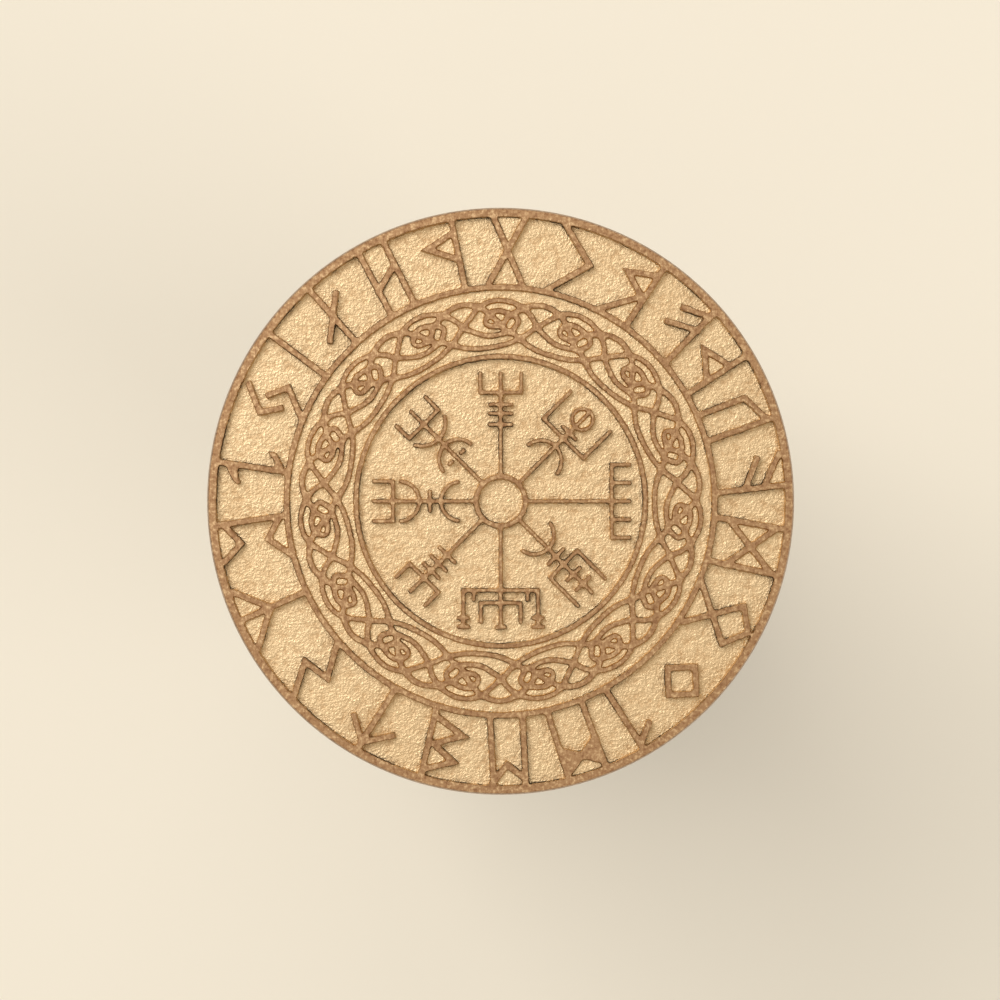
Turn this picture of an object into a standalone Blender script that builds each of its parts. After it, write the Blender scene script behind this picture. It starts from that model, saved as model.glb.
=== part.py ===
"""Hand-struck stamping tool for leather, standing on its striking end with the engraved die upwards.

The tool's axis is +Z and the striking face lies at z = 0. The die is the mirror image of the mark that
it presses. The top of the pattern points to +Y. Sizes are in millimetres, and each finished mesh is
turned to metres.
"""
import math

import bmesh
import bpy
from mathutils import Matrix, Vector
from mathutils.geometry import delaunay_2d_cdt, interpolate_bezier

MM = 0.001

# Fits
SEAT_GAP = 0.3              # between pieces that touch
RING_CLEARANCE = 0.1        # between the rubber ring and the socket it runs in

# Striking cap
CAP_DIAMETER = 28.0
CAP_HEIGHT = 14.0
CAP_FLOOR = 5.0             # steel between the mallet and the spindle's end
CAP_EDGE_RADIUS = 2.0       # rounded edge round the flat striking face
CAP_RIM_CHAMFER = 0.6
CAP_GROOVE_COUNT = 2
CAP_GROOVE_PITCH = 2.6
CAP_GROOVE_DEPTH = 0.5
CAP_GROOVE_HEIGHT = 4.0     # first groove above the striking face
CAP_PIN_DIAMETER = 3.0

# Turned handle
REAR_TENON_DIAMETER = 22.0
FRONT_TENON_DIAMETER = 17.6
FRONT_TENON_LENGTH = 13.0
GRIP_LENGTH = 70.0
GRIP_REAR_DIAMETER = 26.4
GRIP_SWELL_DIAMETER = 30.4
GRIP_SWELL_HEIGHT = 21.0    # fattest place above the rear shoulder
GRIP_WAIST_DIAMETER = 19.4
GRIP_WAIST_HEIGHT = 57.0    # thinnest place above the rear shoulder
GRIP_COLLAR_DIAMETER = 22.4
GRIP_REAR_LEAN = 0.25       # outward slope of the outline where it leaves the rear shoulder
GRIP_COLLAR_LEAN = 0.2      # outward slope of the outline where it reaches the collar
SWEEP_REACH = 0.385         # how far the outline keeps its slope, as a share of each stretch
TOP_MARK_DIAMETER = 4.0
TOP_MARK_DEPTH = 3.0
TOP_MARK_STAND = 0.2        # how far the dot stands out of the wood

# Ferrule and washer
FERRULE_REAR_DIAMETER = 21.6
FERRULE_FRONT_DIAMETER = 20.2
FERRULE_BEAD_RADIUS = 0.7
WASHER_DIAMETER = 20.0
WASHER_THICKNESS = 2.2
WASHER_EDGE_RADIUS = 0.5

# Spindle
ROD_DIAMETER = 8.0
ROD_CHAMFER = 0.8
FLANGE_DIAMETER = 20.0
FLANGE_THICKNESS = 4.0
SPIGOT_DIAMETER = 10.0
SPIGOT_LENGTH = 11.0
SPIGOT_CHAMFER = 0.9
RING_SECTION = 1.4
RING_FROM_TIP = 4.0         # middle of the rubber ring below the spigot's end
INDEX_PIN_DIAMETER = 2.0
INDEX_PIN_SEAT = 2.4        # length held in the flange
INDEX_PIN_REACH = 3.2       # length standing out of the flange
TURNED_EDGE = 0.4           # chamfer on turned steel edges

# Die hub and its screws
BOSS_DIAMETER = 19.0
HUB_SETBACK = 3.0           # hub flange inside the die's edge
HUB_FLANGE_THICKNESS = 3.5
HUB_FLOOR = 2.4             # steel between the socket and the die plate
HUB_FILLET = 1.0
SCREW_COUNT = 3
SCREW_DIAMETER = 2.5
SCREW_HEAD_DIAMETER = 4.5
SCREW_HEAD_HEIGHT = 2.5
SCREW_BITE = 3.0            # length of screw in the die plate

# Die plate, with its bands named from the rim inwards
DIE_DIAMETER = 38.0
PLATE_THICKNESS = 5.6
PLATE_BACK_CHAMFER = 0.6
RELIEF_HEIGHT = 0.7
WALL_DRAFT = 0.05           # how much each raised wall leans in from foot to top
RIM_RING_WIDTH = 0.74
RUNE_BAND_WIDTH = 4.20
RUNE_RING_WIDTH = 0.52
PLAIT_BAND_WIDTH = 4.00
COMPASS_RING_WIDTH = 0.45
HUB_RING_DIAMETER = 3.16    # middle of the small ring at the compass's centre
HUB_RING_WIDTH = 0.36
STROKE_WIDTH = 0.26

# Facets
TURNED_SIDES = 32
SMALL_SIDES = 16
HOLE_PHASE = 0.5            # holes and their pins are turned by half a facet
DIE_SIDES = 72
STRAND_STEPS = 21           # points on a plait strand over as many pitches as there are strands
WELD = 1e-4
CUT_PAST = 2.0              # how far a cutter runs past the face it opens

# Radii that follow from the diameters
rod_radius = ROD_DIAMETER / 2
spigot_radius = SPIGOT_DIAMETER / 2
socket_radius = spigot_radius + SEAT_GAP
boss_radius = BOSS_DIAMETER / 2
die_radius = DIE_DIAMETER / 2
hub_flange_radius = die_radius - HUB_SETBACK
screw_circle = (boss_radius + hub_flange_radius) / 2
index_circle = (socket_radius + boss_radius) / 2
screw_hole_radius = SCREW_DIAMETER / 2 + SEAT_GAP
index_hole_radius = INDEX_PIN_DIAMETER / 2 + SEAT_GAP
ring_outer = socket_radius - RING_CLEARANCE
ring_middle = ring_outer - RING_SECTION / 2
groove_radius = ring_outer - RING_SECTION - SEAT_GAP
groove_width = RING_SECTION + 2 * SEAT_GAP

# Heights up the stack, each piece on the one below it
tenon_end = CAP_FLOOR + SEAT_GAP
shoulder = CAP_HEIGHT + SEAT_GAP
swell = shoulder + GRIP_SWELL_HEIGHT
waist = shoulder + GRIP_WAIST_HEIGHT
collar = shoulder + GRIP_LENGTH
handle_front = collar + FRONT_TENON_LENGTH
washer_base = handle_front + SEAT_GAP
flange_base = washer_base + WASHER_THICKNESS + SEAT_GAP
flange_top = flange_base + FLANGE_THICKNESS
spigot_tip = flange_top + SPIGOT_LENGTH
hub_base = flange_top + SEAT_GAP
socket_end = spigot_tip + SEAT_GAP
hub_top = socket_end + HUB_FLOOR
hub_flange_base = hub_top - HUB_FLANGE_THICKNESS
plate_base = hub_top + SEAT_GAP
face_ground = plate_base + PLATE_THICKNESS
cap_pin_height = (tenon_end + CAP_HEIGHT) / 2

# Radii of the die's bands
rim_inner = die_radius - RIM_RING_WIDTH
rune_ring_outer = rim_inner - RUNE_BAND_WIDTH
rune_ring_inner = rune_ring_outer - RUNE_RING_WIDTH
compass_ring_outer = rune_ring_inner - PLAIT_BAND_WIDTH
compass_radius = compass_ring_outer - COMPASS_RING_WIDTH
hub_ring_radius = HUB_RING_DIAMETER / 2

# One strand of the plait over as many pitches as there are strands: (pitches along, share of the band out)
PLAIT_REPEATS = 15
PLAIT_STRANDS = 3
PLAIT_PATH = [(0.00, 0.865), (0.24, 0.77), (0.42, 0.57), (0.69, 0.27), (0.99, 0.12), (1.31, 0.10),
              (1.58, 0.17), (1.84, 0.335), (2.13, 0.27), (2.37, 0.38), (2.50, 0.49), (2.63, 0.69),
              (2.78, 0.80)]

# The staves are drawn on a grid with this many steps from the axis to the inside of the compass ring
COMPASS_STEPS = 141
step = compass_radius / COMPASS_STEPS
stroke = STROKE_WIDTH + 2 * WALL_DRAFT


# Materials and objects

def paint(name, color, roughness, metallic):
    """Principled material in the finish of one piece."""
    material = bpy.data.materials.new(name)
    material.use_nodes = True
    shader = material.node_tree.nodes["Principled BSDF"]
    shader.inputs["Base Color"].default_value = (*color, 1.0)
    shader.inputs["Roughness"].default_value = roughness
    shader.inputs["Metallic"].default_value = metallic
    return material


def mesh_object(name, bm, height):
    """Turn a millimetre bmesh into an object in metres whose own zero lies at the given height."""
    bmesh.ops.translate(bm, verts=bm.verts, vec=(0, 0, -height))
    bmesh.ops.scale(bm, verts=bm.verts, vec=(MM, MM, MM))
    mesh = bpy.data.meshes.new(name)
    bm.to_mesh(mesh)
    bm.free()
    obj = bpy.data.objects.new(name, mesh)
    obj.location = (0, 0, height * MM)
    bpy.context.scene.collection.objects.link(obj)
    return obj


def piece(name, bm, height, parent, finish):
    """Add one finished piece of the tool under its assembly."""
    obj = mesh_object(name, bm, height)
    obj.data.materials.append(paint(name, *finish))
    obj.data.shade_smooth()
    obj.data.set_sharp_from_angle(angle=math.radians(30))
    obj.parent = parent
    obj.location.z -= parent.location.z
    return obj


def cut(obj, cutter_bm, name):
    """Take the cutter's volume out of a piece."""
    cutter = mesh_object(name, cutter_bm, 0.0)
    cutter.hide_render = True
    cutter.display_type = "WIRE"
    boolean = obj.modifiers.new(name, "BOOLEAN")
    boolean.operation = "DIFFERENCE"
    boolean.solver = "EXACT"
    boolean.object = cutter


# Turned shapes

def lathe(profile, sides, phase=0.0):
    """Turn (radius, height) points about the axis. Points off the axis at both ends make a tube.

    The phase turns the facets by that share of one facet.
    """
    bm = bmesh.new()
    verts = [bm.verts.new((radius, 0.0, height)) for radius, height in profile]
    ends = list(zip(verts, verts[1:]))
    if profile[0][0] > WELD:
        ends.append((verts[-1], verts[0]))
    edges = [bm.edges.new(pair) for pair in ends]
    bmesh.ops.spin(bm, geom=verts + edges, cent=(0, 0, 0), axis=(0, 0, 1),
                   angle=2 * math.pi, steps=sides, use_merge=True)
    bmesh.ops.remove_doubles(bm, verts=bm.verts, dist=WELD)
    bmesh.ops.recalc_face_normals(bm, faces=bm.faces)
    turn = Matrix.Rotation(2 * math.pi * phase / sides, 3, "Z")
    bmesh.ops.rotate(bm, verts=bm.verts, cent=(0, 0, 0), matrix=turn)
    return bm


def arc(radius, height, size, start, end, steps):
    """Points of a round stretch of profile, centred at (radius, height), angles in degrees."""
    angles = [math.radians(start + (end - start) * i / steps) for i in range(steps + 1)]
    return [(radius + size * math.cos(a), height + size * math.sin(a)) for a in angles]


def drill(radius, low, high):
    """Plain cylinder on the axis, for a hole. No edge of it meets an edge of the piece that it opens."""
    return lathe([(0, low), (radius, low), (radius, high), (0, high)], SMALL_SIDES, HOLE_PHASE)


def pin(radius, low, high, chamfer):
    """Cylinder on the axis with chamfered ends, with its facets along those of its hole."""
    return lathe([(0, low), (radius - chamfer, low), (radius, low + chamfer), (radius, high - chamfer),
                  (radius - chamfer, high), (0, high)], SMALL_SIDES, HOLE_PHASE)


def along(axis, bm, height):
    """Turn a shape made on +Z to lie along another axis at a height."""
    turn = Vector((0, 0, 1)).rotation_difference(Vector(axis)).to_matrix().to_4x4()
    bmesh.ops.transform(bm, matrix=Matrix.Translation((0, 0, height)) @ turn, verts=bm.verts)
    return bm


def out_on_circle(bm, radius, angle=0.0):
    """Move a shape from the axis out to +Y, then round the axis by an angle."""
    place = Matrix.Rotation(angle, 4, "Z") @ Matrix.Translation((0, radius, 0))
    bmesh.ops.transform(bm, matrix=place, verts=bm.verts)
    return bm


# Handle assembly

def strike_cap():
    outer = CAP_DIAMETER / 2
    cup = REAR_TENON_DIAMETER / 2 + SEAT_GAP
    side = []
    for i in reversed(range(CAP_GROOVE_COUNT)):
        middle = CAP_GROOVE_HEIGHT + i * CAP_GROOVE_PITCH
        side += [(outer, middle + CAP_GROOVE_DEPTH), (outer - CAP_GROOVE_DEPTH, middle),
                 (outer, middle - CAP_GROOVE_DEPTH)]
    edge = arc(outer - CAP_EDGE_RADIUS, CAP_EDGE_RADIUS, CAP_EDGE_RADIUS, 0, -90, 4)
    profile = [(0, CAP_FLOOR), (cup, CAP_FLOOR), (cup, CAP_HEIGHT), (outer - CAP_RIM_CHAMFER, CAP_HEIGHT),
               (outer, CAP_HEIGHT - CAP_RIM_CHAMFER)]
    return lathe(profile + side + edge + [(0, 0)], TURNED_SIDES)


def cap_pin():
    half = CAP_DIAMETER / 2
    return along((1, 0, 0), pin(CAP_PIN_DIAMETER / 2, -half, half, TURNED_EDGE), cap_pin_height)


def cap_pin_hole():
    half = CAP_DIAMETER / 2 + CUT_PAST
    return along((1, 0, 0), drill(CAP_PIN_DIAMETER / 2 + SEAT_GAP, -half, half), cap_pin_height)


def sweep(start, end, lean_start, lean_end, steps):
    """Smooth stretch of the handle's outline between two (radius, height) points."""
    reach = (end[1] - start[1]) * SWEEP_REACH
    knots = [Vector((start[0], start[1])), Vector((start[0] + lean_start * reach, start[1] + reach)),
             Vector((end[0] - lean_end * reach, end[1] - reach)), Vector((end[0], end[1]))]
    return [tuple(point) for point in interpolate_bezier(*knots, steps)]


def handle_grip():
    bore = rod_radius + SEAT_GAP
    rear = (GRIP_REAR_DIAMETER / 2, shoulder)
    fat = (GRIP_SWELL_DIAMETER / 2, swell)
    thin = (GRIP_WAIST_DIAMETER / 2, waist)
    front = (GRIP_COLLAR_DIAMETER / 2, collar)
    outline = sweep(rear, fat, GRIP_REAR_LEAN, 0, 5)[:-1] + sweep(fat, thin, 0, 0, 8)[:-1]
    outline += sweep(thin, front, 0, GRIP_COLLAR_LEAN, 5)
    rear_tenon = REAR_TENON_DIAMETER / 2
    front_tenon = FRONT_TENON_DIAMETER / 2
    profile = [(bore, tenon_end), (rear_tenon, tenon_end), (rear_tenon, shoulder)] + outline
    profile += [(front_tenon, collar), (front_tenon, handle_front), (bore, handle_front)]
    return lathe(profile, TURNED_SIDES)


def top_mark():
    low = GRIP_SWELL_DIAMETER / 2 - TOP_MARK_DEPTH
    high = GRIP_SWELL_DIAMETER / 2 + TOP_MARK_STAND
    return along((0, 1, 0), pin(TOP_MARK_DIAMETER / 2, low, high, TOP_MARK_STAND), swell)


def top_mark_hole():
    low = GRIP_SWELL_DIAMETER / 2 - TOP_MARK_DEPTH - SEAT_GAP
    high = GRIP_SWELL_DIAMETER / 2 + CUT_PAST
    return along((0, 1, 0), drill(TOP_MARK_DIAMETER / 2 + SEAT_GAP, low, high), swell)


def ferrule():
    inner = FRONT_TENON_DIAMETER / 2 + SEAT_GAP
    rear = FERRULE_REAR_DIAMETER / 2
    front = FERRULE_FRONT_DIAMETER / 2
    low = collar + SEAT_GAP
    bead_middle = low + FERRULE_BEAD_RADIUS
    profile = [(inner, low)]
    profile += arc(rear - FERRULE_BEAD_RADIUS, bead_middle, FERRULE_BEAD_RADIUS, -90, 60, 4)
    profile += [(front, handle_front - TURNED_EDGE), (front - TURNED_EDGE, handle_front)]
    profile += [(inner, handle_front)]
    return lathe(profile, TURNED_SIDES)


def shock_washer():
    outer = WASHER_DIAMETER / 2 - WASHER_EDGE_RADIUS
    low = washer_base + WASHER_EDGE_RADIUS
    high = washer_base + WASHER_THICKNESS - WASHER_EDGE_RADIUS
    inner = rod_radius + SEAT_GAP
    profile = [(inner, washer_base)] + arc(outer, low, WASHER_EDGE_RADIUS, -90, 0, 1)
    profile += arc(outer, high, WASHER_EDGE_RADIUS, 0, 90, 1) + [(inner, washer_base + WASHER_THICKNESS)]
    return lathe(profile, TURNED_SIDES)


def spindle():
    flange = FLANGE_DIAMETER / 2
    groove_low = spigot_tip - RING_FROM_TIP - groove_width / 2
    groove_high = groove_low + groove_width
    profile = [(0, tenon_end), (rod_radius - ROD_CHAMFER, tenon_end), (rod_radius, tenon_end + ROD_CHAMFER),
               (rod_radius, flange_base),
               (flange - TURNED_EDGE, flange_base), (flange, flange_base + TURNED_EDGE),
               (flange, flange_top - TURNED_EDGE), (flange - TURNED_EDGE, flange_top),
               (spigot_radius, flange_top), (spigot_radius, groove_low), (groove_radius, groove_low),
               (groove_radius, groove_high), (spigot_radius, groove_high),
               (spigot_radius, spigot_tip - SPIGOT_CHAMFER), (spigot_radius - SPIGOT_CHAMFER, spigot_tip),
               (0, spigot_tip)]
    return lathe(profile, TURNED_SIDES)


def retaining_ring():
    section = arc(ring_middle, spigot_tip - RING_FROM_TIP, RING_SECTION / 2, 0, 360, 6)
    return lathe(section[:-1], TURNED_SIDES)


def index_pin():
    bm = pin(INDEX_PIN_DIAMETER / 2, flange_top - INDEX_PIN_SEAT, flange_top + INDEX_PIN_REACH, TURNED_EDGE)
    return out_on_circle(bm, index_circle)


def index_hole():
    low = flange_top - INDEX_PIN_SEAT - SEAT_GAP
    bm = drill(index_hole_radius, low, flange_top + INDEX_PIN_REACH + SEAT_GAP)
    return out_on_circle(bm, index_circle)


# Die assembly

def die_hub():
    lead = TURNED_EDGE
    outer = hub_flange_radius
    fillet = arc(boss_radius + HUB_FILLET, hub_flange_base - HUB_FILLET, HUB_FILLET, 90, 180, 4)
    profile = [(0, hub_top), (outer - TURNED_EDGE, hub_top), (outer, hub_top - TURNED_EDGE),
               (outer, hub_flange_base + TURNED_EDGE), (outer - TURNED_EDGE, hub_flange_base)]
    profile += fillet + [(boss_radius, hub_base + TURNED_EDGE), (boss_radius - TURNED_EDGE, hub_base),
                         (socket_radius + lead, hub_base), (socket_radius, hub_base + lead),
                         (socket_radius, socket_end), (0, socket_end)]
    return lathe(profile, TURNED_SIDES)


def hub_screw(index):
    head_top = hub_flange_base - SEAT_GAP
    head_low = head_top - SCREW_HEAD_HEIGHT
    head = SCREW_HEAD_DIAMETER / 2
    shank = SCREW_DIAMETER / 2
    tip = plate_base + SCREW_BITE
    profile = [(0, head_low), (head - TURNED_EDGE, head_low), (head, head_low + TURNED_EDGE),
               (head, head_top), (shank, head_top), (shank, tip - TURNED_EDGE),
               (shank - TURNED_EDGE, tip), (0, tip)]
    bm = lathe(profile, SMALL_SIDES, HOLE_PHASE)
    return out_on_circle(bm, screw_circle, 2 * math.pi * index / SCREW_COUNT)


def screw_hole(index):
    bm = drill(screw_hole_radius, hub_flange_base - CUT_PAST, plate_base + SCREW_BITE + SEAT_GAP)
    return out_on_circle(bm, screw_circle, 2 * math.pi * index / SCREW_COUNT)


# Strokes of the compass, in grid steps: out is away from the axis, side is across the stave

def bar(start, end, width):
    """Straight stroke whose ends run past its points by half its width."""
    start, end = Vector(start), Vector(end)
    run = (end - start).normalized() * width / 2
    across = Vector((-run.y, run.x))
    return [start - run - across, end + run - across, end + run + across, start - run + across]


def stem(tip):
    return [bar((hub_ring_radius / step, 0), (tip, 0), stroke / step)]


def cross(out, half, side=0):
    return [bar((out, side - half), (out, side + half), stroke / step)]


def prong(side, low, high):
    return [bar((low, side), (high, side), stroke / step)]


def trident(base, half, tip):
    return cross(base, half) + prong(-half, base, tip) + prong(half, base, tip)


def curved_bar(out, radius, angles):
    """Stroke along an arc whose centre lies on the stave."""
    width = stroke / step / 2
    turns = [Vector((math.cos(angle), math.sin(angle))) for angle in angles]
    centre = Vector((out, 0))
    outer = [centre + turn * (radius + width) for turn in turns]
    inner = [centre + turn * (radius - width) for turn in turns]
    return outer + inner[::-1]


def bow(apex, ends, half, steps=8):
    """Round stroke across the stave, through its apex and two ends."""
    rise = ends - apex
    radius = (half * half + rise * rise) / (2 * rise)
    spread = math.atan2(half, abs(radius - rise)) if abs(rise) < abs(radius) else math.pi / 2
    angles = [math.pi + spread * (2 * i / steps - 1) for i in range(steps + 1)]
    return [curved_bar(apex + radius, radius, angles)]


def hoop(out, radius, steps=16):
    """Ring on the stave, as two half rings."""
    angles = [2 * math.pi * i / steps for i in range(steps + 1)]
    half = steps // 2
    return [curved_bar(out, radius, angles[:half + 1]), curved_bar(out, radius, angles[half:])]


def north_stave():
    return stem(128) + trident(109, 20.5, 128) + cross(97, 11) + cross(88, 11) + cross(77, 11)


def north_east_stave():
    return stem(127) + trident(108, 20.5, 127) + bow(88, 100, 20.5) + bow(79.6, 62, 19.5)


def east_stave():
    return stem(127) + bow(60, 43, 19.5) + cross(71, 9.5) + bow(81.5, 100, 20) + trident(108, 20, 127)


def south_east_stave():
    return stem(127.5) + cross(76, 10.5) + cross(88, 10.5) + cross(98.5, 10.5) + trident(108.6, 20.4, 127.5)


def south_stave():
    strokes = stem(126.5) + cross(126.5, 4) + cross(89.3, 37.5) + trident(102, 20, 121)
    for side in (-1, 1):
        strokes += prong(side * 37.5, 89.3, 126) + cross(126, 4.8, side * 37.5)
        strokes += cross(117, 4.5, side * 37.5) + prong(side * 27, 89.3, 98.5)
    return strokes


def south_west_stave():
    return (stem(129) + bow(67.4, 51, 19.5) + cross(78.3, 10.4) + trident(89.3, 19.3, 128.6)
            + cross(103.3, 8.7) + cross(116.7, 9.2))


def west_stave():
    strokes = stem(129) + trident(111.3, 36.6, 129)
    return strokes + prong(-18.4, 111.3, 129) + prong(18.4, 111.3, 129)


def north_west_stave():
    return stem(127) + bow(78, 60, 20.3) + trident(89, 28.2, 127) + cross(97, 8.6) + hoop(116, 10.5)


STAVES = [north_stave, north_east_stave, east_stave, south_east_stave,
          south_stave, south_west_stave, west_stave, north_west_stave]


def circle(radius, sides):
    angles = [2 * math.pi * i / sides for i in range(sides)]
    return [Vector((radius * math.cos(angle), radius * math.sin(angle))) for angle in angles]


def ring(outer, inner, sides):
    """Edges of a raised ring at the foot of its walls."""
    return circle(outer + WALL_DRAFT, sides), circle(inner - WALL_DRAFT, sides)


# Plait between the compass ring and the rune ring

def plait_point(position):
    """Pitches along and share of the band outwards, on a smooth curve through the plait's points."""
    whole = math.floor(position)
    part = position - whole
    knots = []
    for i in range(whole - 1, whole + 3):
        lap, place = divmod(i, len(PLAIT_PATH))
        along, out = PLAIT_PATH[place]
        knots.append(Vector((along + lap * PLAIT_STRANDS, out)))
    before, start, end, after = knots
    bend = 2 * before - 5 * start + 4 * end - after
    twist = 3 * start - before - 3 * end + after
    return start + ((end - before) * part + bend * part ** 2 + twist * part ** 3) / 2


def plait_strand(first):
    """Outer and inner edge of one endless strand, which starts that many pitches round."""
    count = STRAND_STEPS * PLAIT_REPEATS // PLAIT_STRANDS
    middle = []
    for i in range(count):
        along, out = plait_point(i * len(PLAIT_PATH) / STRAND_STEPS)
        bearing = 2 * math.pi * (along + first) / PLAIT_REPEATS
        radius = compass_ring_outer + out * PLAIT_BAND_WIDTH
        middle.append(Vector((-radius * math.sin(bearing), radius * math.cos(bearing))))
    outer, inner = [], []
    for i, point in enumerate(middle):
        run = (middle[(i + 1) % count] - middle[i - 1]).normalized() * stroke / 2
        outwards = Vector((run.y, -run.x))
        outer.append(point + outwards)
        inner.append(point - outwards)
    return outer, inner


def mirrored(points, bearing):
    """Place stave points at a compass bearing, reversed left to right as a die is."""
    out = Vector((-math.sin(bearing), math.cos(bearing)))
    side = Vector((-math.cos(bearing), -math.sin(bearing)))
    placed = [(out * point.x + side * point.y) * step for point in points]
    return placed[::-1]


def anticlockwise(points):
    area = sum(p.x * q.y - q.x * p.y for p, q in zip(points, points[1:] + points[:1]))
    return points if area > 0 else points[::-1]


def face_outlines():
    """Ring edges as (outer, inner) pairs and stroke outlines, seen from above the die."""
    rings = [ring(die_radius - WALL_DRAFT, rim_inner, DIE_SIDES),
             ring(rune_ring_outer, rune_ring_inner, DIE_SIDES),
             ring(compass_ring_outer, compass_radius, DIE_SIDES),
             ring(hub_ring_radius + HUB_RING_WIDTH / 2, hub_ring_radius - HUB_RING_WIDTH / 2, TURNED_SIDES)]
    rings += [plait_strand(i) for i in range(PLAIT_STRANDS)]
    strokes = []
    for i, stave in enumerate(STAVES):
        bearing = 2 * math.pi * i / len(STAVES)
        strokes += [anticlockwise(mirrored(points, bearing)) for points in stave()]
    return rings, strokes


def die_plate():
    """Round plate whose top is cut away round the rings and strokes, which stand up with leaning walls."""
    rings, strokes = face_outlines()
    outlines = [points for pair in rings for points in pair] + strokes
    points, faces = [], []
    for outline in outlines:
        faces.append(list(range(len(points), len(points) + len(outline))))
        points += outline
    flat, _, cells, _, _, owners = delaunay_2d_cdt(points, [], faces, 1, WELD)

    bm = bmesh.new()
    verts = [bm.verts.new((point.x, point.y, face_ground)) for point in flat]
    raised = []
    for cell, owner in zip(cells, owners):
        face = bm.faces.new([verts[i] for i in cell])
        in_ring = any(2 * i in owner and 2 * i + 1 not in owner for i in range(len(rings)))
        if in_ring or max(owner) >= 2 * len(rings):
            raised.append(face)
    loose = [vert for vert in bm.verts if not vert.link_faces]
    bmesh.ops.delete(bm, geom=loose, context="VERTS")
    bmesh.ops.inset_region(bm, faces=raised, thickness=WALL_DRAFT, depth=RELIEF_HEIGHT,
                           use_boundary=True, use_even_offset=True)

    edge = [line for line in bm.edges if line.is_boundary]
    drops = [(PLATE_THICKNESS - PLATE_BACK_CHAMFER, 1.0),
             (PLATE_BACK_CHAMFER, (die_radius - PLATE_BACK_CHAMFER) / die_radius)]
    for drop, shrink in drops:
        grown = bmesh.ops.extrude_edge_only(bm, edges=edge)["geom"]
        edge = [item for item in grown if isinstance(item, bmesh.types.BMEdge)]
        lower = [item for item in grown if isinstance(item, bmesh.types.BMVert)]
        bmesh.ops.translate(bm, verts=lower, vec=(0, 0, -drop))
        bmesh.ops.scale(bm, verts=lower, vec=(shrink, shrink, 1))
    bmesh.ops.edgeloop_fill(bm, edges=edge)
    bmesh.ops.recalc_face_normals(bm, faces=bm.faces)
    return bm


# Finishes: colour, roughness, metallic value
BRASS = ((0.66, 0.47, 0.22), 0.35, 1.0)
STEEL = ((0.42, 0.42, 0.43), 0.35, 1.0)
DARK_STEEL = ((0.10, 0.10, 0.11), 0.45, 1.0)
WALNUT = ((0.19, 0.09, 0.04), 0.45, 0.0)
LEATHER = ((0.50, 0.28, 0.12), 0.65, 0.0)
RUBBER = ((0.02, 0.02, 0.02), 0.60, 0.0)


def assembly(name, height):
    """Empty that carries the pieces of one rigid group."""
    empty = bpy.data.objects.new(name, None)
    bpy.context.scene.collection.objects.link(empty)
    empty.location = (0, 0, height * MM)
    return empty


def build():
    for obj in list(bpy.data.objects):
        bpy.data.objects.remove(obj, do_unlink=True)
    handle = assembly("handle_assembly", 0.0)
    die = assembly("die_assembly", hub_base)

    cap = piece("strike_cap", strike_cap(), 0.0, handle, STEEL)
    grip = piece("handle_grip", handle_grip(), tenon_end, handle, WALNUT)
    core = piece("spindle", spindle(), tenon_end, handle, STEEL)
    piece("cap_pin", cap_pin(), cap_pin_height, handle, STEEL)
    piece("top_mark", top_mark(), swell, handle, BRASS)
    piece("ferrule", ferrule(), collar, handle, BRASS)
    piece("shock_washer", shock_washer(), washer_base, handle, LEATHER)
    piece("retaining_ring", retaining_ring(), spigot_tip, handle, RUBBER)
    piece("index_pin", index_pin(), flange_top, handle, STEEL)
    for obj in (cap, grip, core):
        cut(obj, cap_pin_hole(), "cap_pin_hole")
    cut(grip, top_mark_hole(), "top_mark_hole")
    cut(core, index_hole(), "index_hole")

    hub = piece("die_hub", die_hub(), hub_base, die, STEEL)
    plate = piece("die_plate", die_plate(), plate_base, die, BRASS)
    cut(hub, index_hole(), "index_hole")
    for i in range(SCREW_COUNT):
        piece(f"hub_screw_{i + 1}", hub_screw(i), hub_flange_base, die, DARK_STEEL)
        for obj in (hub, plate):
            cut(obj, screw_hole(i), "screw_hole")


build()
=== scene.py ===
"""Looks of a hand-struck leather stamp: an engraved brass die plugged onto a turned walnut handle.

The tool stands on its striking cap with the die upwards. Pieces are modelled in millimetres and
finished in metres.
"""
import math

import bmesh
import bpy
from bmesh.types import BMEdge, BMFace, BMVert
from mathutils import Matrix, Vector, noise
from mathutils.geometry import delaunay_2d_cdt, interpolate_bezier


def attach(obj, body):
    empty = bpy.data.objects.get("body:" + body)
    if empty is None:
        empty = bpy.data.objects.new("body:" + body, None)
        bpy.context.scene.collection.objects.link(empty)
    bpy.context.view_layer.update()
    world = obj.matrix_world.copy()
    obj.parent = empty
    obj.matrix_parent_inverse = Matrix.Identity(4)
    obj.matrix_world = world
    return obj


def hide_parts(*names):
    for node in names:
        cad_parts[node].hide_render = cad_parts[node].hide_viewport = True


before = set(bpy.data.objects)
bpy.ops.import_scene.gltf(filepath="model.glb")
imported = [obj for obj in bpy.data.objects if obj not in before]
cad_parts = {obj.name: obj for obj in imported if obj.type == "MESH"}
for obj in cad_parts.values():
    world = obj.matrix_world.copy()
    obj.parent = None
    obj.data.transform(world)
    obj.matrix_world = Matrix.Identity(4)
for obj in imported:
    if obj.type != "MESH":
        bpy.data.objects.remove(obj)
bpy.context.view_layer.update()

MM = 0.001


# Materials

def srgb(code):
    """Linear colour of an sRGB hex value."""
    parts = [int(code[i:i + 2], 16) / 255 for i in (1, 3, 5)]
    return (*[p / 12.92 if p <= 0.04045 else ((p + 0.055) / 1.055) ** 2.4 for p in parts], 1.0)


def across(mm):
    """Texture scale at which a pattern repeats about every so many millimetres."""
    return 1 / (mm * MM)


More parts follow.
